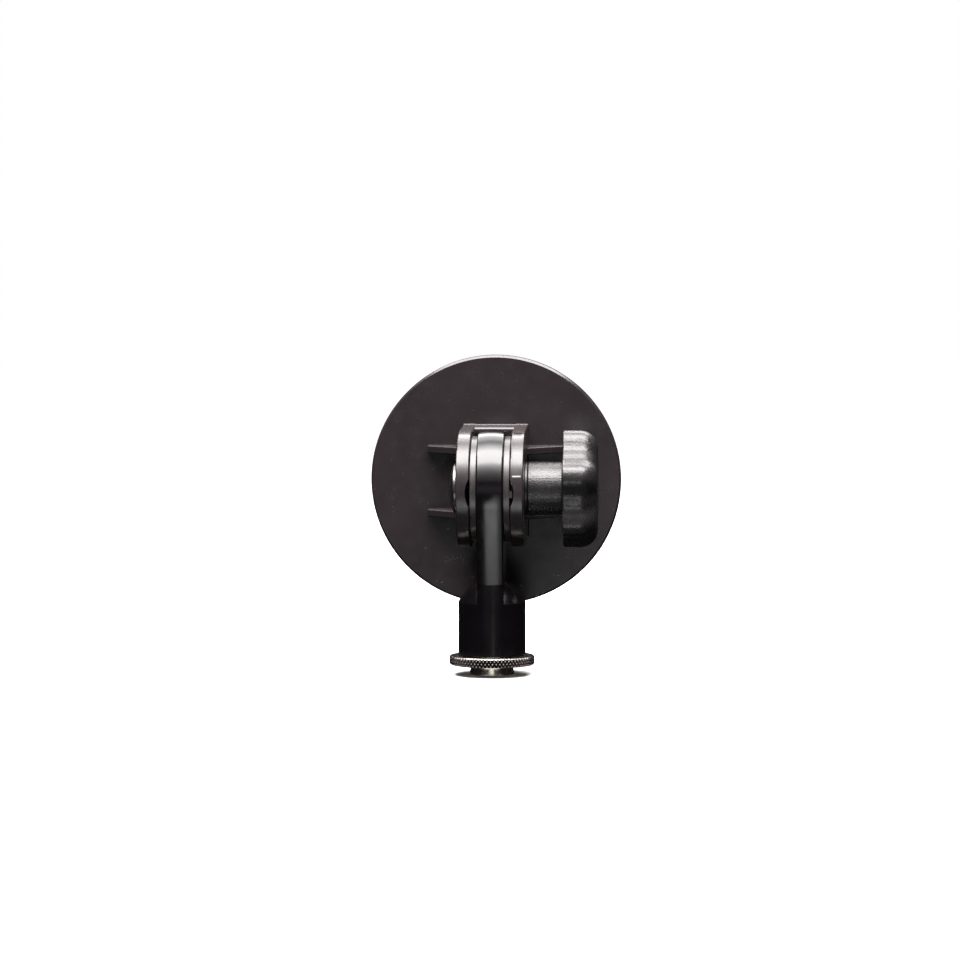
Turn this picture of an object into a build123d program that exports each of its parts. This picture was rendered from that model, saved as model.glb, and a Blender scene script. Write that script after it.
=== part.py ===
from build123d import *
import os
from math import acos, atan2, cos, hypot, pi, sin, sqrt

# Adhesive tablet mount: a round stick-on plate with a moulded clevis, carried by a
# tilting arm that screws on top of a stand.
# Frame: millimetres, +Z up along the arm, origin at the centre of the stand thread's
# mouth (the bottom face of the thread adapter). +X points to the clamp knob, +Y to
# the adhesive face.

os.makedirs("parts", exist_ok=True)

# ---------------------------------------------------------------- driving dimensions
pivot_z = 62.0            # height of the tilt axis above the stand thread's mouth
rest_tilt = 3.7           # plate's lean about the tilt axis in the stored pose, degrees

# round plate
plate_r = 43.0            # 86 mm across
plate_front = 25.5        # tilt axis to the plate's clevis-side face
plate_t = 4.0
plate_bevel = 0.7
pad_r = 42.0
pad_t = 1.1

# clevis ears and the roof that joins them
ear_r = 19.3
ear_in = 6.70             # inner face of each ear, from the middle plane
ear_out = 11.15           # outer face of each ear
roof_top = 19.2           # flat top of the roof above the tilt axis
roof_t = 1.5
roof_front = 17.0         # tilt axis to the roof's front edge, so the arm's head is open above
roof_lip = 1.25           # rounding of the roof's front top edge
relief_r = 9.4            # radius of the shallow relief along each ear's inner face
relief_depth = 1.35
panel_angle = 19.3        # right ear: a shallow panel sunk in its round front, above this angle
panel_x = (7.50, 10.35)
panel_depth = 0.22
root_fillet = 0.3         # where the ears rise from the plate
rib_z = 11.0              # gusset ribs, above and below the tilt axis
rib_t = 2.5
rib_x = 23.3
rib_h_out = 3.0
rib_h_in = 10.5

# arm
blade_half = 4.40         # half the thickness of the arm's blade
head_r = 19.9
crown_r = 25.0            # crown across the blade's rim
blade_corner = 0.5        # rounding of the blade's long edges
socket_r = 11.3
socket_bottom = -55.4     # from the tilt axis
taper_end = -31.4         # where the blade's taper meets the socket's wall
shoulder_top = -30.3
shoulder_r = 4.9
shoulder_low = -37.9

# threads are plain cylinders at the diameters that touch
stud_r = 3.0              # M6 clamp bolt
arm_bore_r = 3.08
adapter_male_r = 7.85     # 5/8 inch - 27 upper thread
insert_in_r = 7.94
insert_out_r = 9.30
insert_len = 16.0
adapter_bore_r = 3.97     # 3/8 inch - 16 lower thread, at its minor diameter
adapter_top = -42.6
ring_r = 14.3
ring_top = -55.75
ring_low = -58.8
waist_r = 7.15            # short neck under the ring

# friction washers
wash_r = 17.6
wash_x0 = 4.50
wash_x1 = 6.55
wash_hole = 3.2

# knob
knob_x0 = 12.10
hub_r = 9.1
head_x0 = 23.8
head_x1 = 35.4
lobes = 6
lobe_r = 20.1             # crest of a lobe
lobe_wave = (1.825, -0.191, -0.148)   # first three harmonics of the lobed outline
lobe_turn = 9.6           # how far the knob is turned, degrees
knob_round = 6.0          # rounding round the outboard end
knob_insert_r = 5.5
knob_insert_len = 12.6
knob_bore_r = 3.08

FIXED = Pos(0, 0, pivot_z)                         # arm-side pieces
TILT = Pos(0, 0, pivot_z) * Rot(rest_tilt, 0, 0)   # plate-side pieces


def x_disc(r, x0, x1, y=0.0, z=0.0):
    """Cylinder of radius r along X from x0 to x1."""
    return Pos((x0 + x1) / 2, y, z) * Rot(0, 90, 0) * Cylinder(r, x1 - x0)


def y_disc(r, y0, y1):
    """Cylinder of radius r along Y from y0 to y1."""
    return Pos(0, (y0 + y1) / 2, 0) * Rot(90, 0, 0) * Cylinder(r, y1 - y0)


def block(x0, x1, y0, y1, z0, z1):
    return Pos((x0 + x1) / 2, (y0 + y1) / 2, (z0 + z1) / 2) * Box(x1 - x0, y1 - y0, z1 - z0)


def revolve_z(points):
    """Solid of revolution about Z from (radius, z) points."""
    face = make_face(Polyline(*[(r, 0, z) for r, z in points], close=True))
    return revolve(face, Axis.Z, 360)


def revolve_x(points):
    """Solid of revolution about X from (x, radius) points."""
    face = make_face(Polyline(*[(x, r, 0) for x, r in points], close=True))
    return revolve(face, Axis.X, 360)


# ---------------------------------------------------------------- mounting plate
def build_plate():
    disc = y_disc(plate_r, plate_front, plate_front + plate_t)
    rim = disc.edges().filter_by(GeomType.CIRCLE).sort_by(Axis.Y)
    disc = chamfer(rim[0], plate_bevel)
    rim = disc.edges().filter_by(GeomType.CIRCLE).sort_by(Axis.Y)
    disc = chamfer(rim[-1], 0.35)

    def ear(side):
        a, b = (ear_in, ear_out) if side > 0 else (-ear_out, -ear_in)

        def shape(r):
            body = x_disc(r, a, b) + block(a, b, 0, plate_front + 1.0, -r, r)
            # soft rounding along the round front of both faces
            rims = [e for e in body.edges().filter_by(GeomType.CIRCLE)
                    if abs(e.radius - r) < 0.01]
            return fillet(rims, 0.45)

        if side < 0:
            return shape(ear_r)
        # the right ear's round front has a shallow sunk panel that ends in a ledge
        level = ear_r * sin(panel_angle * pi / 180)
        x0, x1 = panel_x
        floor_r = ear_r - panel_depth
        outside = block(x0, x1, -ear_r - 1, -3.0, level, ear_r + 1)
        outside = outside - x_disc(floor_r, x0 - 1, x1 + 1)
        # the ledge slopes down and forward at 40 degrees
        ny, nz = -cos(40 * pi / 180), sin(40 * pi / 180)
        corner = (-sqrt(floor_r ** 2 - level ** 2), level)
        centre = (corner[0] + ny * 1.0 - nz * 0.5, corner[1] + nz * 1.0 + ny * 0.5)
        pl = Plane(origin=((x0 + x1) / 2, centre[0], centre[1]), x_dir=(1, 0, 0), z_dir=(0, ny, nz))
        slope = pl.location * Box(x1 - x0, 1.0, 2.0)
        return shape(ear_r) - outside - slope

    plate = disc + ear(-1) + ear(1)

    # roof: a flat slab that joins the ears next to the plate, its front top edge rounded
    roof = block(-ear_in - 0.5, ear_in + 0.5, roof_front, plate_front + 1.0,
                 roof_top - roof_t, roof_top)
    lip = roof.edges().filter_by(Axis.X).sort_by(lambda e: e.center().Y - e.center().Z)[0]
    plate = plate + fillet(lip, roof_lip)

    # small fillets where the roof's underside meets the ears
    for side in (-1, 1):
        r = 1.2 if side < 0 else 0.7
        x = side * ear_in
        z = roof_top - roof_t
        y1 = plate_front + 0.5
        corner = block(min(x, x - side * r), max(x, x - side * r), roof_front, y1, z - r, z)
        scoop = Pos(x - side * r, y1 / 2, z - r) * Rot(90, 0, 0) * Cylinder(r, y1 + 4)
        plate = plate + (corner - scoop)

    # small fillets where the ears rise from the plate
    roots = [e for e in plate.edges()
             if all(abs(v.Y - plate_front) < 0.01 for v in e.vertices())
             and abs(e.center().Y - plate_front) < 0.01
             and not (e.geom_type == GeomType.CIRCLE and e.radius > 20)]
    plate = fillet(roots, root_fillet)

    # triangular gusset ribs, two on each side
    for side in (-1, 1):
        for level in (-1, 1):
            y0 = plate_front
            pts = [(side * (ear_out - 0.6), y0 + 0.5),
                   (side * rib_x, y0 + 0.5),
                   (side * rib_x, y0 - rib_h_out),
                   (side * (ear_out - 0.6), y0 - rib_h_in)]
            face = make_face(Polyline(*[(x, y, 0) for x, y in pts], close=True))
            rib = extrude(face, rib_t / 2, both=True)
            crest = [e for e in rib.edges() if e.center().Y < y0 - 0.6
                     and abs(abs(e.center().Z) - rib_t / 2) < 0.01]
            try:
                rib = fillet(crest, 0.40)
            except Exception:
                pass
            plate = plate + Pos(0, 0, level * rib_z) * rib

    # bolt holes: square on the left for the bolt's neck, round on the right
    plate = plate - block(-ear_out - 1, -ear_in + 1, -3.05, 3.05, -3.05, 3.05)
    plate = plate - x_disc(3.2, ear_in - 1, ear_out + 1)

    # shallow relief along each ear's inner face, from its front edge past the hole
    for side in (-1, 1):
        cx = side * (ear_in + relief_depth - relief_r)
        groove = Pos(cx, -1.0, 0.5) * Rot(90, 0, 0) * Cylinder(relief_r, 2 * ear_r)
        keep = block(-20, 0, -30, 30, -20, 20) if side > 0 else block(0, 20, -30, 30, -20, 20)
        plate = plate - (groove - keep)
    return plate


# ---------------------------------------------------------------- tilting arm
def build_arm():
    # The taper is the line tangent to the round head that meets the socket's wall at
    # (socket_r, taper_end), seen from the side.
    reach = hypot(socket_r, taper_end)
    # direction of the tangent point, measured up from straight down
    alpha = atan2(socket_r, -taper_end) + acos(head_r / reach)
    ny, nz = sin(alpha), -cos(alpha)          # outward at the tangent point, in (y, z)
    length = sqrt(reach ** 2 - head_r ** 2)   # taper's length
    ty, tz = -cos(alpha), -sin(alpha)         # along the taper, downwards

    # Half section of the blade, x across it and y outward: flat sides, a crowned rim
    # and rounded corners.
    sag = crown_r - sqrt(crown_r ** 2 - blade_half ** 2)
    r1 = head_r - sag
    with BuildSketch() as sec:
        with BuildLine():
            Line((-blade_half, 0), (-blade_half, r1))
            ThreePointArc((-blade_half, r1), (0, head_r), (blade_half, r1))
            Line((blade_half, r1), (blade_half, 0))
            Line((blade_half, 0), (-blade_half, 0))
        make_face()
        fillet([v for v in sec.vertices() if v.Y > 1], blade_corner)
    section = sec.sketch.faces()[0]

    head = revolve(section, Axis.X, 360)

    # taper prisms, front and back, tangent to the head
    neck = None
    for s in (-1, 1):
        # local plane: x stays X, y axis points outward at the tangent point
        pl = Plane(origin=(0, 0, 0), x_dir=(1, 0, 0),
                   z_dir=Vector(1, 0, 0).cross(Vector(0, s * ny, nz)))
        face = pl.from_local_coords(section)
        prism = extrude(face, length, dir=(0, s * ty, tz))
        neck = prism if neck is None else neck + prism
    arm = head + neck
    arm = arm + block(-blade_half + 0.01, blade_half - 0.01, -10.2, 10.2, taper_end - 4, -20)

    # socket with its shoulders
    a0 = (shoulder_r, shoulder_top)
    a1 = (socket_r, shoulder_low)
    mid = ((a0[0] + a1[0]) / 2 + 0.45, (a0[1] + a1[1]) / 2 + 0.40)
    with BuildSketch(Plane.XZ) as prof:
        with BuildLine():
            Line((0, shoulder_top), a0)
            ThreePointArc(a0, mid, a1)
            Line(a1, (socket_r, socket_bottom + 0.25))
            Line((socket_r, socket_bottom + 0.25), (socket_r - 0.25, socket_bottom))
            Line((socket_r - 0.25, socket_bottom), (0, socket_bottom))
            Line((0, socket_bottom), (0, shoulder_top))
        make_face()
    socket = revolve(prof.sketch.faces()[0], Axis.Z, 360)

    # front and back of the blade run on down into the socket, curved to its wall
    runner = block(-blade_half, blade_half, -socket_r - 1, socket_r + 1, shoulder_low - 3, taper_end)
    runner = runner & (Pos(0, 0, -40) * Cylinder(socket_r, 40))
    arm = arm + socket + runner

    # pivot bore
    arm = arm - x_disc(arm_bore_r, -blade_half - 2, blade_half + 2)
    # socket bore for the thread sleeve, with a drill-point end
    depth_top = socket_bottom + insert_len
    bore = revolve_z([(0, socket_bottom - 1), (insert_out_r, socket_bottom - 1),
                      (insert_out_r, depth_top), (insert_in_r, depth_top),
                      (insert_in_r, depth_top + 0.8), (0, depth_top + 3.2)])
    return arm - bore


# ---------------------------------------------------------------- thread pieces
def build_thread_insert():
    z0 = socket_bottom
    z1 = socket_bottom + insert_len
    return revolve_z([(insert_in_r + 0.4, z0), (insert_out_r, z0), (insert_out_r, z1),
                      (insert_in_r, z1), (insert_in_r, z0 + 0.4)])


def build_adapter():
    low = -pivot_z
    with BuildSketch(Plane.XZ) as prof:
        with BuildLine():
            Polyline((adapter_bore_r, low + 0.5), (adapter_bore_r, adapter_top - 0.0),
                     (adapter_male_r - 0.7, adapter_top), (adapter_male_r, adapter_top - 0.7),
                     (adapter_male_r, ring_top + 0.9), (adapter_male_r - 0.5, ring_top + 0.6),
                     (adapter_male_r - 0.5, ring_top),
                     (ring_r - 0.45, ring_top), (ring_r, ring_top - 0.45),
                     (ring_r, ring_low + 0.35), (ring_r - 0.35, ring_low),
                     (7.75, ring_low))
            # short neck under the ring, curved in at its top
            ThreePointArc((7.75, ring_low), (7.32, ring_low - 0.22), (waist_r, ring_low - 0.7))
            Polyline((waist_r, ring_low - 0.7), (waist_r, low + 0.25), (waist_r - 0.25, low),
                     (adapter_bore_r + 0.5, low), (adapter_bore_r, low + 0.5))
        make_face()
    return revolve(prof.sketch.faces()[0], Axis.Z, 360)


# ---------------------------------------------------------------- clamp hardware
def build_washer(side):
    c = 0.12
    w = revolve_x([(wash_x0, wash_hole), (wash_x0, wash_r - c), (wash_x0 + c, wash_r),
                   (wash_x1 - c, wash_r), (wash_x1, wash_r - c), (wash_x1, wash_hole)])
    # key lug that sits in the ear's relief: in front on the right, behind on the left
    lug = block(wash_x1 - 0.3, wash_x1 + 0.95, -wash_r + 0.25, -wash_r + 3.2, -1.1, 1.1)
    w = w + lug
    if side < 0:
        # the same stamping turned over: half a turn about the upright axis
        w = Rot(0, 0, 180) * w
    return w


def build_bolt():
    head_r2, head_h, rim = 8.4, 3.2, 1.5
    x = -ear_out - 0.02
    end = 28.9
    with BuildSketch() as prof:
        with BuildLine():
            ThreePointArc((x - head_h, 0),
                          (x - rim - 0.72 * (head_h - rim), head_r2 * 0.55),
                          (x - rim, head_r2))
            Polyline((x - rim, head_r2), (x - 0.15, head_r2), (x, head_r2 - 0.15), (x, stud_r),
                     (end - 0.6, stud_r),
                     (end, stud_r - 0.6), (end, 0), (x - head_h, 0))
        make_face()
    body = revolve(prof.sketch.faces()[0], Axis.X, 360)
    neck = block(x - 0.2, -7.1, -3.0, 3.0, -3.0, 3.0)
    return body + neck


def build_knob_washer():
    return revolve_x([(11.20, 3.3), (11.20, 8.85), (11.35, 9.0), (11.90, 9.0),
                      (12.05, 8.85), (12.05, 3.3)])


def lobed_face(shrink, x):
    """Lobed outline pulled in radially by shrink, as a flat face at height x."""
    # broad shallow valleys between rounded lobes: three harmonics about a mean radius
    a1, a2, a3 = lobe_wave
    r0 = lobe_r - a1 + a2 - a3 - shrink
    pts = []
    n = lobes * 12
    for i in range(n):
        a = 2 * pi * i / n
        u = lobes * (a - lobe_turn * pi / 180)
        r = r0 - a1 * cos(u) - a2 * cos(2 * u) - a3 * cos(3 * u)
        pts.append((r * cos(a), r * sin(a)))
    return Pos(0, 0, x) * make_face(Spline(*pts, periodic=True))


def build_knob():
    hub = x_disc(hub_r, knob_x0, head_x0 + 2)
    hub = fillet(hub.edges().filter_by(GeomType.CIRCLE).sort_by(Axis.X)[0], 0.35)
    length = head_x1 - head_x0
    straight_end = length - knob_round
    # inboard edge, straight grip and well rounded outboard edge
    grip = extrude(lobed_face(0, 0.6), straight_end - 0.6)
    steps = (90, 60, 30, 0)
    inboard = loft([lobed_face(0.6 * (1 - cos(a * pi / 180)), 0.6 - 0.6 * sin(a * pi / 180))
                    for a in steps])
    steps = (0, 15, 30, 45, 60, 75, 90)
    outboard = loft([lobed_face(knob_round * (1 - cos(a * pi / 180)),
                                straight_end + knob_round * sin(a * pi / 180))
                     for a in steps])
    head = inboard + grip + outboard
    # stand the head on the X axis: local x -> +Y, local y -> +Z, local z -> +X
    pl = Plane(origin=(head_x0, 0, 0), x_dir=(0, 1, 0), z_dir=(1, 0, 0))
    head = pl.location * head
    knob = hub + head
    try:
        joint = [e for e in knob.edges().filter_by(GeomType.CIRCLE)
                 if abs(e.radius - hub_r) < 0.01 and abs(e.center().X - head_x0) < 0.01]
        knob = fillet(joint, 0.7)
    except Exception:
        pass
    knob = knob - x_disc(knob_insert_r, knob_x0 - 1, knob_x0 + knob_insert_len)
    knob = knob - x_disc(3.4, knob_x0, 32.2)
    return knob


def build_knob_insert():
    x0 = knob_x0
    x1 = knob_x0 + knob_insert_len
    return revolve_x([(x0, knob_bore_r + 0.4), (x0, knob_insert_r), (x1, knob_insert_r),
                      (x1, knob_bore_r), (x0 + 0.4, knob_bore_r)])


def build_pad():
    return y_disc(pad_r, plate_front + plate_t, plate_front + plate_t + pad_t)


pieces = {
    "thread_adapter": FIXED * build_adapter(),
    "thread_insert": FIXED * build_thread_insert(),
    "tilt_arm": FIXED * build_arm(),
    "mounting_plate": TILT * build_plate(),
    "adhesive_pad": TILT * build_pad(),
    "friction_washer_left": TILT * build_washer(-1),
    "friction_washer_right": TILT * build_washer(1),
    "clamp_bolt": TILT * build_bolt(),
    "knob_washer": TILT * build_knob_washer(),
    "knob": TILT * build_knob(),
    "knob_insert": TILT * build_knob_insert(),
}

for name, shape in pieces.items():
    solids = shape.solids()
    out = solids[0] if len(solids) == 1 else Compound(children=list(solids))
    out.label = name
    export_step(out, f"parts/{name}.step")
    print(name, len(solids), round(out.volume, 1), out.is_valid)
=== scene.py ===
import math
import bpy
import numpy as np
from mathutils import Matrix, Vector


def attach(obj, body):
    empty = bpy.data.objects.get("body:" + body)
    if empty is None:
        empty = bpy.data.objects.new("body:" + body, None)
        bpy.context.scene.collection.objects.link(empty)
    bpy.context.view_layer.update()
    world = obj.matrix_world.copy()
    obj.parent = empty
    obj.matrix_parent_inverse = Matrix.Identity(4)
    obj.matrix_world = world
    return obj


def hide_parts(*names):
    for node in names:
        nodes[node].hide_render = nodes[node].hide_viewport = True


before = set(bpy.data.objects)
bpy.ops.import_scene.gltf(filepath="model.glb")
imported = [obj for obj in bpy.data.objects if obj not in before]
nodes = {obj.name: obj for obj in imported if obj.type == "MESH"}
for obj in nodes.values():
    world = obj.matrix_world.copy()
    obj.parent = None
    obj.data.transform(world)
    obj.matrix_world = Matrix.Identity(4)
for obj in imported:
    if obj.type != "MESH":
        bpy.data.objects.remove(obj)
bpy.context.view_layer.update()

MM = 0.001
PIVOT_Z = 62.0                       # tilt axis above the stand thread's mouth, mm
LEAN = math.radians(3.7)             # plate's lean about the tilt axis at rest
CL, SL = math.cos(LEAN), math.sin(LEAN)


# ------------------------------------------------------------------ mesh helpers
def to_row(pts, tilt):
    """Points in mm about the tilt axis -> metres in the row frame."""
    p = np.array(pts, float)
    if tilt:
        y = p[..., 1] * CL - p[..., 2] * SL
        z = p[..., 1] * SL + p[..., 2] * CL
        p = np.stack([p[..., 0], y, z], -1)
    p[..., 2] += PIVOT_Z
    return p * MM


class Shells:
    """Collects closed shells and turns them into one mesh object."""

    def __init__(self):
        self.v, self.f, self.n = [], [], 0

    def grid(self, pts, wrap_rows=False, cap_first=False, cap_last=False, flip=False):
        """pts: rows x columns x 3; columns always close on themselves."""
        rows, cols = pts.shape[:2]
        idx = self.n + np.arange(rows * cols).reshape(rows, cols)
        nxt = np.roll(idx, -1, axis=1)
        if wrap_rows:
            a, b = idx, np.roll(idx, -1, axis=0)
            c, d = np.roll(nxt, -1, axis=0), nxt
        else:
            a, b, c, d = idx[:-1], idx[1:], nxt[1:], nxt[:-1]
        quads = np.stack([a.ravel(), b.ravel(), c.ravel(), d.ravel()], 1)
        if flip:
            quads = quads[:, ::-1]
        self.v.append(pts.reshape(-1, 3))
        self.f.extend(quads.tolist())
        self.n += rows * cols
        for here, row in ((cap_first, 0), (cap_last, -1)):
            if here:
                centre = pts[row].mean(0)
                self.v.append(centre[None])
                c = self.n
                self.n += 1
                ring = idx[row]
                for i in range(cols):
                    tri = [int(ring[i]), int(ring[(i + 1) % cols]), c]
                    if (row == -1) != flip:
                        tri.reverse()
                    self.f.append(tri)
        return idx

    def finish(self, name, tilt, sharp=35.0):
        v = to_row(np.concatenate(self.v), tilt)
        mesh = bpy.data.meshes.new(name)
        mesh.from_pydata(v.tolist(), [], self.f)
        mesh.validate()
        mesh.update()
        import bmesh
        bm = bmesh.new()
        bm.from_mesh(mesh)
        bmesh.ops.remove_doubles(bm, verts=bm.verts, dist=1e-8)
        bmesh.ops.dissolve_degenerate(bm, dist=1e-8, edges=bm.edges)
        bmesh.ops.recalc_face_normals(bm, faces=bm.faces)
        bm.to_mesh(mesh)
        bm.free()
        mesh.shade_smooth()
        mesh.set_sharp_from_angle(angle=math.radians(sharp))
        obj = bpy.data.objects.new(name, mesh)
        bpy.context.scene.collection.objects.link(obj)
        return obj


def ring_points(r, s, cols, axis):
    """A circle of radius r (number or array over the columns) at s along the axis."""
    a = np.linspace(0, 2 * np.pi, cols, endpoint=False)
    r = np.broadcast_to(r, (cols,))
    s = np.broadcast_to(s, (cols,))
    u, v = r * np.cos(a), r * np.sin(a)
    return np.stack([u, v, s], -1) if axis == "Z" else np.stack([s, u, v], -1)


def smooth_step(x):
    x = np.clip(x, 0.0, 1.0)
    return x * x * (3 - 2 * x)


def thread(root, crest, pitch, s0, s1, cols, axis, per_pitch=12, s_start=None, s_end=None):
    """Rows of a right-hand thread from s0 to s1; root and crest are its radii. The
    thread fades out over one pitch at both ends, to the root radius."""
    n = max(2, int(round(abs(s1 - s0) / pitch * per_pitch)))
    a = np.linspace(0, 2 * np.pi, cols, endpoint=False) / (2 * np.pi)
    rows = []
    for s in np.linspace(s0, s1, n + 1):
        t = np.mod(s / pitch - a, 1.0)
        w = np.abs(t - 0.5) * 2                       # 0 at the crest's middle, 1 at the root's
        h = np.clip((0.86 - w) / 0.74, 0, 1)          # flat crest, straight flanks, flat root
        fade = smooth_step(abs(s - s0) / pitch) * smooth_step(abs(s1 - s) / pitch)
        rows.append(ring_points(root + (crest - root) * h * fade, s, cols, axis))
    return rows


def hash3(ix, iy, iz, k):
    """Repeatable pseudo-random numbers in 0..1 for integer cells."""
    with np.errstate(over="ignore"):
        h = (ix.astype(np.uint64) * np.uint64(73856093)) ^ (iy.astype(np.uint64) * np.uint64(19349663)) \
            ^ (iz.astype(np.uint64) * np.uint64(83492791)) ^ np.uint64(k * 2654435761 % 2 ** 32)
        h ^= h >> np.uint64(13)
        h *= np.uint64(0x5bd1e9955bd1e995)
        h ^= h >> np.uint64(31)
        h *= np.uint64(0x9E3779B97F4A7C15)
        h ^= h >> np.uint64(29)
    return (h & np.uint64(0xFFFFFF)).astype(np.float64) / float(0xFFFFFF)


def pebbles(p, cell):
    """Height 0..1 of a field of rounded pebbles about one cell across, at points p (mm)."""
    q = p / cell + 1000.0
    base = np.floor(q).astype(np.int64)
    f1 = np.full(len(p), 9.0)
    f2 = np.full(len(p), 9.0)
    for dx in (-1, 0, 1):
        for dy in (-1, 0, 1):
            for dz in (-1, 0, 1):
                c = base + np.array([dx, dy, dz])
                j = np.stack([hash3(c[:, 0], c[:, 1], c[:, 2], k) for k in (1, 2, 3)], 1)
                d = np.linalg.norm(c + 0.15 + 0.7 * j - q, axis=1)
                near = d < f1
                f2 = np.where(near, f1, np.minimum(f2, d))
                f1 = np.where(near, d, f1)
    return np.clip((f2 - f1) / 0.45, 0, 1)


# ------------------------------------------------------------------ materials
def new_mat(name, **sockets):
    m = bpy.data.materials.new(name)
    m.use_nodes = True
    b = m.node_tree.nodes["Principled BSDF"]
    for k, v in sockets.items():
        b.inputs[k.replace("_", " ")].default_value = v
    return m, m.node_tree, b


def add(tree, kind, **props):
    n = tree.nodes.new(kind)
    for k, v in props.items():
        if k in n.inputs:
            n.inputs[k].default_value = v
        else:
            setattr(n, k, v)
    return n


def math_node(tree, op, a, b=None, clamp=False):
    n = tree.nodes.new("ShaderNodeMath")
    n.operation = op
    n.use_clamp = clamp
    for i, x in enumerate((a, b)):
        if x is None:
            continue
        if isinstance(x, (int, float)):
            n.inputs[i].default_value = x
        else:
            tree.links.new(x, n.inputs[i])
    return n.outputs[0]


def noise(tree, vec, scale, detail=2.0, rough=0.5, distortion=0.0):
    n = add(tree, "ShaderNodeTexNoise")
    n.inputs["Scale"].default_value = scale
    n.inputs["Detail"].default_value = detail
    n.inputs["Roughness"].default_value = rough
    n.inputs["Distortion"].default_value = distortion
    tree.links.new(vec, n.inputs["Vector"])
    return n.outputs["Fac"]


def ramp(tree, fac, stops):
    n = tree.nodes.new("ShaderNodeValToRGB")
    el = n.color_ramp.elements
    while len(el) < len(stops):
        el.new(0.5)
    for e, (pos, col) in zip(el, stops):
        e.position = pos
        e.color = (*col, 1) if len(col) == 3 else col
    tree.links.new(fac, n.inputs["Fac"])
    return n.outputs["Color"]


def span(tree, value, a, b, c, d):
    n = tree.nodes.new("ShaderNodeMapRange")
    for k, x in (("From Min", a), ("From Max", b), ("To Min", c), ("To Max", d)):
        n.inputs[k].default_value = x
    tree.links.new(value, n.inputs["Value"])
    return n.outputs["Result"]


def obj_coords(tree):
    return tree.nodes.new("ShaderNodeTexCoord").outputs["Object"]


def polar(tree, axis):
    """(along the axis, radius, angle) about the tilt axis or the stand's axis, in metres."""
    sep = tree.nodes.new("ShaderNodeSeparateXYZ")
    tree.links.new(obj_coords(tree), sep.inputs[0])
    x, y, z = sep.outputs
    if axis == "X":
        u, v, s = y, math_node(tree, "SUBTRACT", z, PIVOT_Z * MM), x
    else:
        u, v, s = x, y, z
    r = math_node(tree, "SQRT", math_node(tree, "ADD", math_node(tree, "MULTIPLY", u, u),
                                          math_node(tree, "MULTIPLY", v, v)))
    a = math_node(tree, "ARCTAN2", v, u)
    return s, r, a


def combine(tree, a, b, c):
    n = tree.nodes.new("ShaderNodeCombineXYZ")
    for i, x in enumerate((a, b, c)):
        if isinstance(x, (int, float)):
            n.inputs[i].default_value = x
        else:
            tree.links.new(x, n.inputs[i])
    return n.outputs[0]


def bump(tree, height, distance, strength=1.0, normal=None):
    n = tree.nodes.new("ShaderNodeBump")
    n.inputs["Distance"].default_value = distance
    n.inputs["Strength"].default_value = strength
    tree.links.new(height, n.inputs["Height"])
    if normal is not None:
        tree.links.new(normal, n.inputs["Normal"])
    return n.outputs["Normal"]


def moulded_plastic(name, dark, light, rough, grain_mm, grain_depth, rough_spread=0.06,
                    tool_marks=False, top_light_and_dust=None):
    """Black moulded plastic: fine grain, slow colour and gloss variation. Faces that look up get a paler colour in
    patches: painted light from above, together with settled dust."""
    m, t, b = new_mat(name, IOR=1.5)
    v = obj_coords(t)
    slow = noise(t, v, 55.0, 3.0, 0.55, 0.3)
    colour = ramp(t, slow, [(0.30, dark), (0.72, light)])
    if top_light_and_dust is not None:
        # painted light from above: faces that look up turn paler, in dust-like patches
        sep = t.nodes.new("ShaderNodeSeparateXYZ")
        t.links.new(t.nodes.new("ShaderNodeTexCoord").outputs["Normal"], sep.inputs[0])
        lying = span(t, sep.outputs[2], 0.72, 0.96, 0.0, 1.0)
        patches = span(t, noise(t, v, 620.0, 4.0, 0.65), 0.30, 0.62, 0.45, 1.0)
        mix = t.nodes.new("ShaderNodeMix")
        mix.data_type = "RGBA"
        t.links.new(math_node(t, "MULTIPLY", lying, patches, clamp=True), mix.inputs[0])
        t.links.new(colour, mix.inputs[6])
        mix.inputs[7].default_value = (*top_light_and_dust, 1)
        colour = mix.outputs[2]
    t.links.new(colour, b.inputs["Base Color"])
    cloudy = noise(t, v, 240.0, 4.0, 0.6)
    t.links.new(span(t, cloudy, 0.3, 0.7, rough - rough_spread, rough + rough_spread),
                b.inputs["Roughness"])
    fine = noise(t, v, 1.0 / (grain_mm * MM), 3.0, 0.6)
    n = bump(t, fine, grain_depth * MM)
    wavy = noise(t, v, 160.0, 1.0, 0.4)
    n = bump(t, wavy, 0.02 * MM, 0.5, n)
    if tool_marks:
        # fine marks of the mould's turned cheeks, round the tilt axis
        s, r, a = polar(t, "X")
        marks = noise(t, combine(t, math_node(t, "MULTIPLY", s, 2600.0),
                                 math_node(t, "MULTIPLY", r, 900.0),
                                 math_node(t, "MULTIPLY", a, 2.0)), 1.0, 2.0, 0.6)
        inside = math_node(t, "LESS_THAN", r, 0.0212)
        near = math_node(t, "LESS_THAN", math_node(t, "ABSOLUTE", s), 0.0116)
        both = math_node(t, "MULTIPLY", inside, near)
        n = bump(t, math_node(t, "MULTIPLY", marks, both), 0.012 * MM, 1.0, n)
    t.links.new(n, b.inputs["Normal"])
    return m


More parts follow.
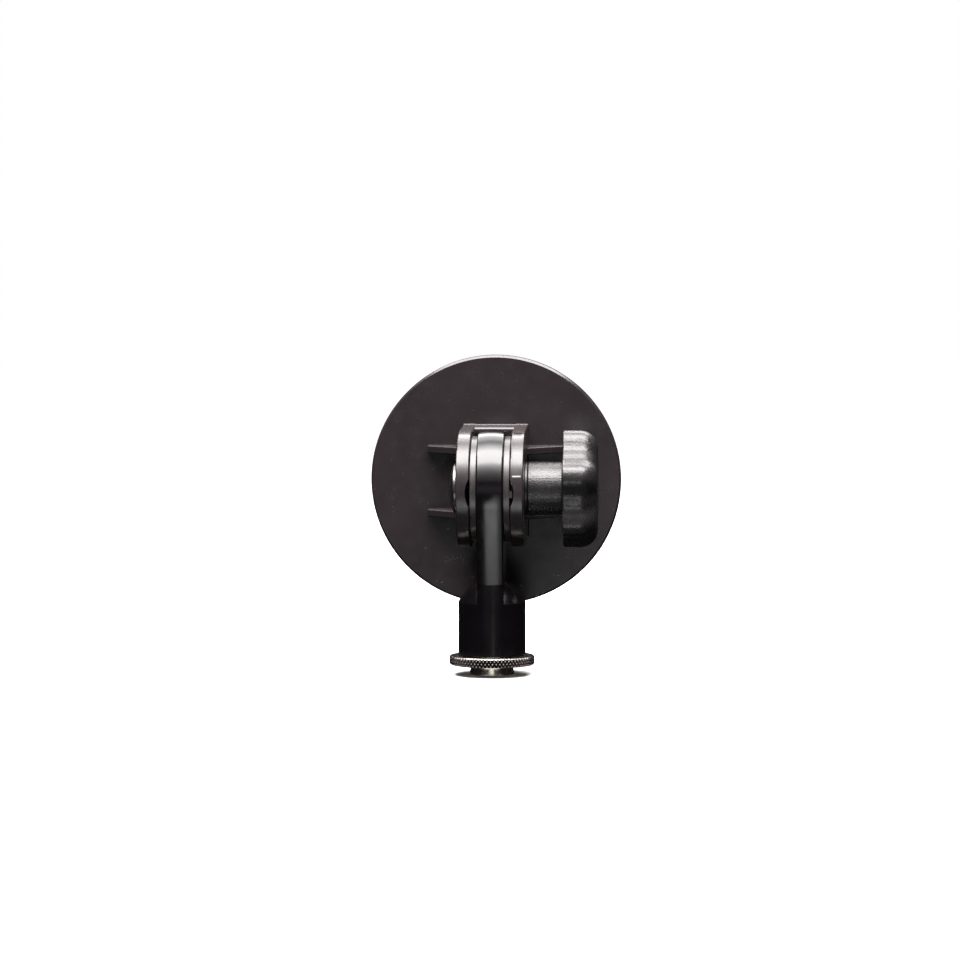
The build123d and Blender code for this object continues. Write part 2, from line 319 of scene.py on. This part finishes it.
def turned_metal(name, colour, dark, rough, axis, line_mm, line_depth, groove_dark_at=None,
                 spread=0.08, metallic=1.0):
    """Machined or stamped metal with fine lines round an axis; a dull oxidised surface
    is less than fully metallic."""
    m, t, b = new_mat(name, Metallic=metallic)
    s, r, a = polar(t, axis)
    k = 1.0 / (line_mm * MM)
    lines = noise(t, combine(t, math_node(t, "MULTIPLY", s, k), math_node(t, "MULTIPLY", r, k),
                             math_node(t, "MULTIPLY", a, 1.5)), 1.0, 3.0, 0.65)
    v = obj_coords(t)
    blotch = noise(t, v, 420.0, 4.0, 0.6)
    fac = blotch
    if groove_dark_at is not None:
        # darker the deeper in the grooves; their depth, 0 to 1, is stored on the mesh
        groove = t.nodes.new("ShaderNodeAttribute")
        groove.attribute_name = "groove"
        off_groove = span(t, groove.outputs["Fac"], groove_dark_at[0], groove_dark_at[1], 1.0, 0.0)
        fac = math_node(t, "MULTIPLY", math_node(t, "ADD", math_node(t, "MULTIPLY", blotch, 0.5), 0.62),
                        off_groove, clamp=True)
    t.links.new(ramp(t, fac, [(0.18, dark), (0.62, colour)]), b.inputs["Base Color"])
    t.links.new(span(t, noise(t, v, 900.0, 3.0, 0.6), 0.3, 0.7, rough - spread, rough + spread),
                b.inputs["Roughness"])
    t.links.new(bump(t, lines, line_depth * MM), b.inputs["Normal"])
    return m


# the paler colour on its up-facing faces is painted light from above, with some dust
moulded_black = moulded_plastic("moulded_black", (0.0150, 0.0114, 0.0127), (0.0206, 0.0158, 0.0173),
                                0.24, 0.16, 0.006, 0.05, tool_marks=True, top_light_and_dust=(0.046, 0.040, 0.041))
arm_black = moulded_plastic("arm_black", (0.0020, 0.0017, 0.0022), (0.0031, 0.0027, 0.0033),
                            0.17, 0.22, 0.0025, 0.03)


def pebble_plastic():
    m, t, b = new_mat("knob_black", IOR=1.5)
    v = obj_coords(t)
    slow = noise(t, v, 70.0, 3.0, 0.5)
    t.links.new(ramp(t, slow, [(0.3, (0.0095, 0.0086, 0.0092)), (0.7, (0.0145, 0.0132, 0.0140))]),
                b.inputs["Base Color"])
    t.links.new(span(t, noise(t, v, 800.0, 3.0, 0.6), 0.3, 0.7, 0.22, 0.34), b.inputs["Roughness"])
    vor = add(t, "ShaderNodeTexVoronoi", feature="F1")
    vor.inputs["Scale"].default_value = 1.0 / (0.34 * MM)
    t.links.new(v, vor.inputs["Vector"])
    n = bump(t, vor.outputs["Distance"], 0.05 * MM, 0.55)
    n = bump(t, noise(t, v, 1.0 / (0.12 * MM), 2.0, 0.6), 0.012 * MM, 1.0, n)
    t.links.new(n, b.inputs["Normal"])
    return m


knob_black = pebble_plastic()
washer_steel = turned_metal("washer_steel", (0.068, 0.063, 0.063), (0.048, 0.044, 0.044), 0.31, "X", 0.10, 0.004,
                            spread=0.05, metallic=0.5)
bolt_steel = turned_metal("bolt_steel", (0.155, 0.147, 0.146), (0.095, 0.090, 0.090), 0.30, "X", 0.16, 0.002)
dull_steel = turned_metal("dull_steel", (0.070, 0.066, 0.066), (0.045, 0.042, 0.042), 0.36, "X", 0.14, 0.003)
# knurled finish: near black the deeper in its grooves
nickel = turned_metal("nickel", (0.52, 0.48, 0.455), (0.016, 0.012, 0.012), 0.29, "Z", 0.12, 0.003,
                      groove_dark_at=(0.02, 0.24))
nickel_plain = turned_metal("nickel_plain", (0.66, 0.62, 0.57), (0.42, 0.39, 0.35), 0.21, "Z", 0.12, 0.003)
brass = turned_metal("brass", (0.72, 0.53, 0.26), (0.42, 0.29, 0.13), 0.25, "Z", 0.12, 0.004)
brass_x = turned_metal("brass_x", (0.72, 0.53, 0.26), (0.42, 0.29, 0.13), 0.25, "X", 0.12, 0.004)


def foam_material():
    m, t, b = new_mat("foam", IOR=1.45)
    v = obj_coords(t)
    cells = add(t, "ShaderNodeTexVoronoi", feature="F1")
    cells.inputs["Scale"].default_value = 1.0 / (0.30 * MM)
    t.links.new(v, cells.inputs["Vector"])
    t.links.new(ramp(t, cells.outputs["Distance"], [(0.0, (0.012, 0.012, 0.013)), (0.8, (0.045, 0.044, 0.046))]),
                b.inputs["Base Color"])
    t.links.new(span(t, noise(t, v, 130.0, 4.0, 0.6), 0.3, 0.7, 0.42, 0.62), b.inputs["Roughness"])
    n = bump(t, cells.outputs["Distance"], 0.06 * MM, 0.8)
    n = bump(t, noise(t, v, 90.0, 3.0, 0.5), 0.12 * MM, 0.5, n)
    t.links.new(n, b.inputs["Normal"])
    return m


foam = foam_material()


def dress(obj, mat):
    obj.data.materials.clear()
    obj.data.materials.append(mat)


for node, mat in {
    "mounting_plate": moulded_black, "tilt_arm": arm_black,
    "friction_washer_left": washer_steel, "friction_washer_right": washer_steel,
    "knob_washer": dull_steel,
}.items():
    dress(nodes[node], mat)


# ------------------------------------------------------------------ knob
# Pebble-textured moulding: hub, lobed grip and well rounded outboard end.
LOBES, CREST, TURN = 6, 20.1, math.radians(9.6)
WAVE = (1.825, -0.191, -0.148)
KX0, HEAD0, HEAD1, ROUND = 12.10, 23.8, 35.4, 6.0
HUB_R, INSERT_R = 9.1, 5.5


def lobed(angle, shrink=0.0):
    u = LOBES * (angle - TURN)
    a1, a2, a3 = WAVE
    r0 = CREST - a1 + a2 - a3 - shrink
    return r0 - a1 * np.cos(u) - a2 * np.cos(2 * u) - a3 * np.cos(3 * u)


def build_knob():
    cols = 540
    step = 0.24
    ang = np.linspace(0, 2 * np.pi, cols, endpoint=False)
    outline = lobed(ang)
    prof = []                                   # (radius over the columns, x, texture)

    def radial(r_a, r_b, x, n, tex=0.0):
        for k in np.linspace(0, 1, n, endpoint=False):
            prof.append((r_a + (r_b - r_a) * k, x, tex))

    def arc(r_c, x_c, rad, a0, a1, n, tex):
        for k in np.linspace(a0, a1, n, endpoint=False):
            prof.append((r_c + rad * np.cos(k), x_c + rad * np.sin(k), tex))

    one = np.ones(cols)
    # hub's end face, its rounded edge and its wall
    radial(INSERT_R * one, (HUB_R - 0.35) * one, KX0, 6)
    arc((HUB_R - 0.35) * one, KX0 + 0.35, 0.35, -np.pi / 2, 0, 5, 0.6)
    for x in np.arange(KX0 + 0.35, HEAD0 - 0.7, step):
        prof.append((HUB_R * one, x, min(1.0, (x - KX0) / 1.0)))
    for k in np.linspace(0, np.pi / 2, 6, endpoint=False):
        prof.append(((HUB_R + 0.7 - 0.7 * np.cos(k)) * one, HEAD0 - 0.7 + 0.7 * np.sin(k), 1.0))
    # inboard face out to the lobes
    radial((HUB_R + 0.7) * one, outline - 0.6, HEAD0, 26, 0.8)
    arc(outline - 0.6, HEAD0 + 0.6, 0.6, -np.pi / 2, 0, 6, 0.8)
    for x in np.arange(HEAD0 + 0.6, HEAD1 - ROUND, step):
        prof.append((outline, x, 1.0))
    # outboard rounding and end face
    for k in np.linspace(0, np.pi / 2, 38, endpoint=False):
        prof.append((outline - ROUND * (1 - np.cos(k)), HEAD1 - ROUND + ROUND * np.sin(k), 1.0))
    radial(outline - ROUND, 0.6 * one, HEAD1, 44, 1.0)
    prof.append((0.6 * one, HEAD1, 1.0))
    pts = np.stack([ring_points(r, x, cols, "X") for r, x, _ in prof])
    tex = np.array([p[2] for p in prof])[:, None] * np.ones((1, cols))
    # normals by differences, then the pebbles pushed along them
    du = np.gradient(pts, axis=0)
    dv = (np.roll(pts, -1, 1) - np.roll(pts, 1, 1)) / 2
    nrm = np.cross(dv, du)
    nrm /= np.maximum(np.linalg.norm(nrm, axis=-1, keepdims=True), 1e-9)
    centre = np.array([25.0, 0, 0])
    if ((pts - centre) * nrm).sum() < 0:
        nrm = -nrm
    flat = pts.reshape(-1, 3)
    h = pebbles(flat, 0.54) * 0.75 + pebbles(flat + 37.0, 0.86) * 0.25
    push = (h - 1.0) * 0.070 * tex.reshape(-1)
    flat = flat + nrm.reshape(-1, 3) * push[:, None]
    pts = flat.reshape(pts.shape)
    s = Shells()
    # bore for the insert and the bolt's clearance hole behind it
    inner = [(0.0001, 32.2), (3.4, 32.2), (3.4, KX0 + 12.6), (INSERT_R, KX0 + 12.6),
             (INSERT_R, KX0 + 6), (INSERT_R, KX0)]
    rows = [ring_points(r, x, cols, "X") for r, x in inner[:-1]]
    rows = np.concatenate([np.stack(rows), pts])
    s.grid(rows, cap_last=True)
    return s.finish("knob_moulding", True, 60)


knob = build_knob()
dress(knob, knob_black)
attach(knob, "knob")
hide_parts("knob")


# ------------------------------------------------------------------ inserts
def threaded_sleeve(name, r_out, r_in, depth, pitch, s0, s1, axis, tilt, ridges):
    """Sleeve with an internal thread and a straight-ridged outer wall."""
    cols = 144
    a = np.linspace(0, 2 * np.pi, cols, endpoint=False)
    rows = thread(r_in + depth, r_in, pitch, s0, s1, cols, axis, 10)
    grip = r_out - 0.12 * (0.5 - 0.5 * np.cos(a * ridges))
    rows += [ring_points(r_out - 0.4, s1, cols, axis), ring_points(grip, s1 - 0.4, cols, axis)]
    for k in np.linspace(s1 - 0.6, s0 + 0.6, 8):
        rows.append(ring_points(grip, k, cols, axis))
    rows += [ring_points(grip, s0 + 0.4, cols, axis), ring_points(r_out - 0.4, s0, cols, axis)]
    s = Shells()
    s.grid(np.stack(rows), wrap_rows=True)
    return s.finish(name, tilt, 30)


knob_insert = threaded_sleeve("knob_insert_threaded", INSERT_R, 3.08, 0.5, 1.0, KX0, KX0 + 12.6, "X", True, 36)
dress(knob_insert, brass_x)
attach(knob_insert, "knob")
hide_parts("knob_insert")

SOCKET_LOW = -55.4
sleeve = threaded_sleeve("socket_sleeve_threaded", 9.30, 7.94, 0.55, 0.9407, SOCKET_LOW, SOCKET_LOW + 16.0, "Z", False, 48)
dress(sleeve, brass)
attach(sleeve, "arm")
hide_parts("thread_insert")


# ------------------------------------------------------------------ thread adapter
LOW = -PIVOT_Z
RING_R, RING_TOP, RING_LOW, WAIST_R = 14.3, -55.75, -58.8, 7.02
MALE_R, BORE_R, TOP = 7.85, 3.97, -42.6


def ring_envelope(z):
    """The ring's outer radius without its grooves: rounded shoulder and small lower chamfer."""
    top = RING_R - 0.42 * np.clip((z - (RING_TOP - 0.50)) / 0.50, 0, 1) ** 1.4
    low = RING_R - np.clip((RING_LOW + 0.40) - z, 0, 1) * 1.0
    return np.minimum(top, low)


def build_adapter():
    s = Shells()
    cols = 144
    # turned body: bore with the stand thread, upper thread, waist and lip
    rows = [ring_points(BORE_R + 0.62, LOW, cols, "Z")]
    rows += thread(BORE_R + 0.62, BORE_R, 1.5875, LOW + 0.5, TOP - 0.4, cols, "Z", 12)
    rows += [ring_points(BORE_R + 0.3, TOP, cols, "Z")]
    for r in np.linspace(BORE_R + 0.8, MALE_R - 0.95, 5):
        rows.append(ring_points(r, TOP, cols, "Z"))
    rows += thread(MALE_R - 0.52, MALE_R, 0.9407, TOP - 0.35, RING_TOP + 0.95, cols, "Z", 12)
    rows += [ring_points(r, z, cols, "Z") for r, z in
             ((MALE_R - 0.55, RING_TOP + 0.6), (MALE_R - 0.55, RING_TOP - 0.1), (7.6, RING_TOP - 0.6),
              (7.6, RING_LOW + 0.5), (7.75, RING_LOW + 0.02))]
    # neck: curves in under the ring, then flares a little to its lower edge
    for k in np.linspace(0, np.pi / 2, 10):
        rows.append(ring_points(WAIST_R + 0.6 * (1 - np.sin(k)), RING_LOW - 0.7 * (1 - np.cos(k)) ** 0.9, cols, "Z"))
    flare_top, flare_low = RING_LOW - 0.9, LOW + 0.34
    for k in np.linspace(0, 1, 14):
        rows.append(ring_points(WAIST_R + 0.54 * k ** 1.15, flare_top + (flare_low - flare_top) * k, cols, "Z"))
    for r, z in ((7.57, LOW + 0.20), (7.50, LOW + 0.08), (7.36, LOW), (5.8, LOW)):
        rows.append(ring_points(r, z, cols, "Z"))
    s.grid(np.stack(rows), wrap_rows=True)
    # knurled ring
    cols = 1168
    teeth = 73
    a = np.linspace(0, 2 * np.pi, cols, endpoint=False)
    pitch = 2 * np.pi * RING_R / teeth
    slant = math.tan(math.radians(34))
    depth = 0.44
    tips = RING_TOP - 0.85

    def outer(z):
        """Outer radius over the columns at height z: crossed grooves, then the edges."""
        g = np.zeros(cols)
        for d in (-1, 1):
            f = np.mod(a / (2 * np.pi) * teeth + d * (z - tips) * slant / pitch, 1.0)
            w = 1 - np.abs(f - 0.5) * 2
            g = np.maximum(g, np.clip((w - 0.30) / 0.70, 0, 1))
        return np.minimum(RING_R - depth * g, ring_envelope(z))

    rows = [ring_points(r, RING_TOP, cols, "Z") for r in (7.1, 9.0, 10.8, 11.6, 12.4, 13.1, 13.6)]
    zs = np.linspace(RING_TOP, RING_LOW, 48)
    rows += [ring_points(outer(z), z, cols, "Z") for z in zs]
    rows += [ring_points(r, RING_LOW, cols, "Z") for r in (13.4, 12.5, 10.5, 8.5, 7.1)]
    s.grid(np.stack(rows), wrap_rows=True)
    return s.finish("adapter_knurled", False, 28)


adapter = build_adapter()
adapter.data.materials.append(nickel_plain)
adapter.data.materials.append(nickel)
band = np.zeros(len(adapter.data.polygons) * 3)
adapter.data.polygons.foreach_get("center", band)
band = band.reshape(-1, 3)
rr = np.hypot(band[:, 0], band[:, 1])
# the ring's outside takes the finish that darkens deep in its grooves, the rest the plain one
knurled = (rr > 13.6 * MM) & (band[:, 2] < (PIVOT_Z + RING_TOP - 0.36) * MM)
adapter.data.polygons.foreach_set("material_index", knurled.astype(np.int32))
co = np.zeros(len(adapter.data.vertices) * 3)
adapter.data.vertices.foreach_get("co", co)
co = co.reshape(-1, 3) / MM
depth_now = (ring_envelope(co[:, 2] - PIVOT_Z) - np.hypot(co[:, 0], co[:, 1])) / 0.44
adapter.data.attributes.new("groove", "FLOAT", "POINT").data.foreach_set(
    "value", np.clip(depth_now, 0, 1).astype(np.float32))
adapter.data.update()
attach(adapter, "adapter")
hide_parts("thread_adapter")


# ------------------------------------------------------------------ clamp bolt
def build_bolt():
    s = Shells()
    cols = 128
    x = -11.17
    head_r, head_h, rim = 8.4, 3.2, 1.5
    rows = []
    # dome through (x-2.8, 0) and the rim, with a small rounded rim
    dome = head_h - rim
    cap_r = (head_r ** 2 + dome ** 2) / (2 * dome)
    top = math.asin(min(1.0, (head_r - 0.12) / cap_r))
    for k in np.linspace(0.02, 1.0, 44):
        a = top * k
        rows.append(ring_points(cap_r * math.sin(a), x - head_h + cap_r * (1 - math.cos(a)), cols, "X"))
    for r, dx in ((head_r - 0.04, -rim + 0.03), (head_r, -rim + 0.12), (head_r, -rim + 0.5), (head_r, -0.5),
                  (head_r, -0.15), (head_r - 0.05, -0.05), (head_r - 0.15, 0.0),
                  (7.0, 0.0), (5.5, 0.0), (4.2, 0.0), (3.0, 0.0)):
        rows.append(ring_points(r, x + dx, cols, "X"))
    for k in np.linspace(x + 0.6, 9.8, 20):
        rows.append(ring_points(2.98, k, cols, "X"))
    rows += thread(2.45, 3.0, 1.0, 10.2, 28.2, cols, "X", 12)
    rows += [ring_points(2.42, 28.5, cols, "X"), ring_points(2.1, 28.85, cols, "X"),
             ring_points(1.2, 28.9, cols, "X")]
    s.grid(np.stack(rows), cap_first=True, cap_last=True)
    # square neck with small corner radii
    n = 96
    a = np.linspace(0, 2 * np.pi, n, endpoint=False)
    p = 9.0
    sq = 2.99 / (np.abs(np.cos(a)) ** p + np.abs(np.sin(a)) ** p) ** (1 / p)
    rows = [ring_points(sq * 0.5, x - 0.15, n, "X"), ring_points(sq, x - 0.15, n, "X"),
            ring_points(sq, x + 1.5, n, "X"), ring_points(sq, -7.5, n, "X"), ring_points(sq * 0.93, -7.12, n, "X"),
            ring_points(sq * 0.5, -7.12, n, "X")]
    s.grid(np.stack(rows), cap_first=True, cap_last=True)
    return s.finish("carriage_bolt", True, 30)


bolt = build_bolt()
dress(bolt, bolt_steel)
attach(bolt, "plate")
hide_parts("clamp_bolt")


# ------------------------------------------------------------------ foam pad
def build_pad():
    """Thin closed-cell foam disc: its cut edge bulges a little and its tacky face has
    a slight unevenness."""
    cols = 540
    y0, y1, rad = 29.5, 30.6, 42.0
    a = np.linspace(0, 2 * np.pi, cols, endpoint=False)

    def ring(r, y):
        r = np.broadcast_to(r, (cols,))
        y = np.broadcast_to(y, (cols,))
        return np.stack([r * np.cos(a), y, r * np.sin(a)], -1)

    def uneven(r):
        x, z = r * np.cos(a), r * np.sin(a)
        q = np.sin(x * 0.31 + 1.3) * np.sin(z * 0.27 + 0.4) + 0.6 * np.sin(x * 0.83 - z * 0.61) \
            + 0.35 * np.sin(x * 1.9 + 0.5) * np.sin(z * 2.1)
        return q * 0.012 * smooth_step((rad - r) / 3.0)

    rows = []
    for r in np.linspace(1.0, rad - 0.9, 70):
        rows.append(ring(r, y1 - 0.03 + uneven(np.full(cols, r))))
    wob = 0.04 * np.sin(a * 7 + 0.6) + 0.03 * np.sin(a * 17) + 0.015 * np.sin(a * 41 + 2)
    for k in np.linspace(0, np.pi, 13):
        bulge = np.sin(k)
        rows.append(ring(rad - 0.42 + 0.28 * bulge + wob, (y0 + y1) / 2 + (y1 - y0) / 2 * np.cos(k) * 0.97))
    for r in np.linspace(rad - 0.9, 1.0, 12):
        rows.append(ring(r, y0 + 0.01))
    s = Shells()
    s.grid(np.stack(rows), cap_first=True, cap_last=True)
    return s.finish("foam_disc", True, 50)


pad = build_pad()
dress(pad, foam)
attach(pad, "plate")
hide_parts("adhesive_pad")


# ------------------------------------------------------------------ floor, light, camera
scene = bpy.context.scene


def build_floor():
    m, t, b = new_mat("floor_pale", Roughness=0.9)
    v = obj_coords(t)
    t.links.new(ramp(t, noise(t, v, 3.0, 3.0, 0.5), [(0.3, (0.80, 0.80, 0.80)), (0.7, (0.84, 0.84, 0.84))]),
                b.inputs["Base Color"])
    mesh = bpy.data.meshes.new("floor")
    n, rad = 64, 14.0
    ring = [(rad * math.cos(2 * math.pi * i / n), rad * math.sin(2 * math.pi * i / n), -0.0004) for i in range(n)]
    mesh.from_pydata(ring, [], [list(range(n))])
    mesh.materials.append(m)
    obj = bpy.data.objects.new("floor", mesh)
    scene.collection.objects.link(obj)
    return obj


floor = build_floor()
# the floor stays out of the gloss and the bounce of the black parts
floor.visible_glossy = False
floor.visible_diffuse = False
floor.visible_shadow = False

PIVOT = Vector((0, 0, PIVOT_Z * MM))


def panel(name, centre, size_x, size_y, radiance, colour=(1, 1, 1), up=(0, 0, 1)):
    """Rectangular soft light facing the tilt axis; centre in metres from that axis."""
    d = bpy.data.lights.new(name, "AREA")
    d.shape = "RECTANGLE"
    d.size, d.size_y = size_x, size_y
    d.energy = radiance * math.pi * size_x * size_y
    d.color = colour
    o = bpy.data.objects.new(name, d)
    c = Vector(centre)
    z = c.normalized()
    x = Vector(up).cross(z)
    if x.length < 1e-4:
        x = Vector((1, 0, 0))
    x.normalize()
    y = z.cross(x)
    o.matrix_world = Matrix.Translation(PIVOT + c) @ Matrix((x, y, z)).transposed().to_4x4()
    scene.collection.objects.link(o)
    return o


def direction(az, el):
    a, e = math.radians(az), math.radians(el)
    return Vector((math.sin(a) * math.cos(e), -math.cos(a) * math.cos(e), math.sin(e)))


def flat_panel(name, height, y0, y1, half_x, radiance, colour=(1, 1, 1), x=0.0):
    """Horizontal soft light above, from y0 to y1, facing down."""
    d = bpy.data.lights.new(name, "AREA")
    d.shape = "RECTANGLE"
    d.size, d.size_y = 2 * half_x, abs(y1 - y0)
    d.energy = radiance * math.pi * d.size * d.size_y
    d.color = colour
    o = bpy.data.objects.new(name, d)
    o.location = PIVOT + Vector((x, (y0 + y1) / 2, height))
    scene.collection.objects.link(o)
    return o


WARM = (1.0, 0.965, 0.965)
H = 0.80                             # the overhead light's height above the tilt axis


def band(name, e0, e1, radiance, half_x=0.56):
    """Strip of the overhead light between two elevations, counted from the front."""
    y0 = -H / math.tan(math.radians(e0))
    y1 = -H / math.tan(math.radians(e1))
    flat_panel(name, H, y0, y1, half_x, radiance, WARM)


band("overhead_main", 53, 84, 22.0)
band("overhead_back_a", 84, 90, 14.0)
band("overhead_back_b", 90, 96, 10.0)
band("overhead_back_c", 96, 102, 5.0)
band("overhead_back_d", 102, 110, 3.0)
band("overhead_rear_a", 110, 124, 5.6)
band("overhead_rear_b", 124, 142, 9.0)
flat_panel("overhead_right", H, 0.15, 0.65, 0.30, 0.9, WARM, 1.00)
# the overhead light's soft front edge
for i, (e0, e1, rad_) in enumerate(((53, 49, 11.5), (49, 45, 7.2), (45, 40, 4.4), (40, 35, 2.5), (35, 30, 1.5),
                                    (30, 25, 0.9), (25, 18, 0.5))):
    mid = (e0 + e1) / 2
    dist = H / math.sin(math.radians(50))
    panel(f"front_edge_{i}", direction(0, mid) * dist, 1.12,
          2 * dist * math.tan(math.radians((e0 - e1) / 2)), rad_, WARM)
# low reflector in front, brightest along its middle, its top left corner cut away


def low_panel(name, az0, az1, el0, el1, radiance):
    dist = 0.9
    az, el = (az0 + az1) / 2, (el0 + el1) / 2
    panel(name, direction(az, el) * dist,
          2 * dist * math.cos(math.radians(el)) * math.tan(math.radians((az1 - az0) / 2)),
          2 * dist * math.tan(math.radians(abs(el0 - el1) / 2)), radiance, (0.97, 1.0, 0.98))


low_panel("low_reflector_a", 3.0, 11.4, -16, -10, 0.9)
low_panel("low_reflector_b", -1.0, 11.4, -21, -16, 1.5)
low_panel("low_reflector_c", -7.0, 11.4, -26, -21, 2.3)
low_panel("low_reflector_d", -10.9, 11.4, -38, -26, 3.4)
low_panel("low_reflector_e", -10.9, 11.4, -43, -38, 1.1)
# weak bounce from the ground below
panel("ground_bounce", direction(0, -74) * 1.0, 1.5, 0.62, 0.14)
# faint card behind the camera
panel("front_card", direction(1.0, 1.4) * 1.4, 1.40, 0.34, 0.24, (1, 0.98, 1))
# faint fill from behind for the back of the object
panel("rear_fill", direction(180, 35) * 1.6, 1.8, 1.0, 0.6)

# low card in front for the plated adapter alone
adapter_card = panel("adapter_card", direction(0, -8.3) * 1.2, 2.4, 0.24, 4.50, (1, 0.98, 0.95))
only_adapter = bpy.data.collections.new("adapter_only")
only_adapter.objects.link(adapter)
adapter_card.light_linking.receiver_collection = only_adapter

# floor light: it lights the floor alone
sun = bpy.data.lights.new("floor_light", "SUN")
sun.energy = 4.4
sun.angle = math.radians(60)
sun_obj = bpy.data.objects.new("floor_light", sun)
sun_obj.location = (0, 0, 2)
scene.collection.objects.link(sun_obj)
only_floor = bpy.data.collections.new("floor_only")
only_floor.objects.link(floor)
sun_obj.light_linking.receiver_collection = only_floor

# world: pale to the eye, dim as a light
world = bpy.data.worlds.new("studio")
scene.world = world
world.use_nodes = True
wt = world.node_tree
bg = wt.nodes["Background"]
bg.inputs["Color"].default_value = (1, 1, 1, 1)
dim = wt.nodes.new("ShaderNodeBackground")
dim.inputs["Color"].default_value = (1, 0.97, 0.98, 1)
dim.inputs["Strength"].default_value = 0.012
mix = wt.nodes.new("ShaderNodeMixShader")
ray = wt.nodes.new("ShaderNodeLightPath")
wt.links.new(ray.outputs["Is Camera Ray"], mix.inputs[0])
wt.links.new(dim.outputs[0], mix.inputs[1])
wt.links.new(bg.outputs[0], mix.inputs[2])
wt.links.new(mix.outputs[0], wt.nodes["World Output"].inputs["Surface"])

scene.view_settings.view_transform = "Standard"

# camera: 3.2 degrees to the right, 2.6 degrees above, 0.953 m from the tilt axis
AZ, EL, DEPTH, FOCAL = math.radians(3.2), math.radians(2.6), 0.953, 2850.0
fwd = Vector((-math.sin(AZ) * math.cos(EL), math.cos(AZ) * math.cos(EL), -math.sin(EL)))
right = Vector((math.cos(AZ), math.sin(AZ), 0))
upv = right.cross(fwd)
PX, PY = 492.0, 488.8                # where the tilt axis's middle falls in the frame
eye = PIVOT - fwd * DEPTH - right * ((PX - 480) / FOCAL * DEPTH) + upv * ((PY - 480) / FOCAL * DEPTH)
cam = bpy.data.cameras.new("camera")
cam.sensor_width = 36.0
cam.lens = FOCAL * 36.0 / 960
cam.clip_start, cam.clip_end = 0.05, 60.0
cam_obj = bpy.data.objects.new("camera", cam)
cam_obj.matrix_world = Matrix.Translation(eye) @ Matrix((right, upv, -fwd)).transposed().to_4x4()
scene.collection.objects.link(cam_obj)
scene.camera = cam_obj
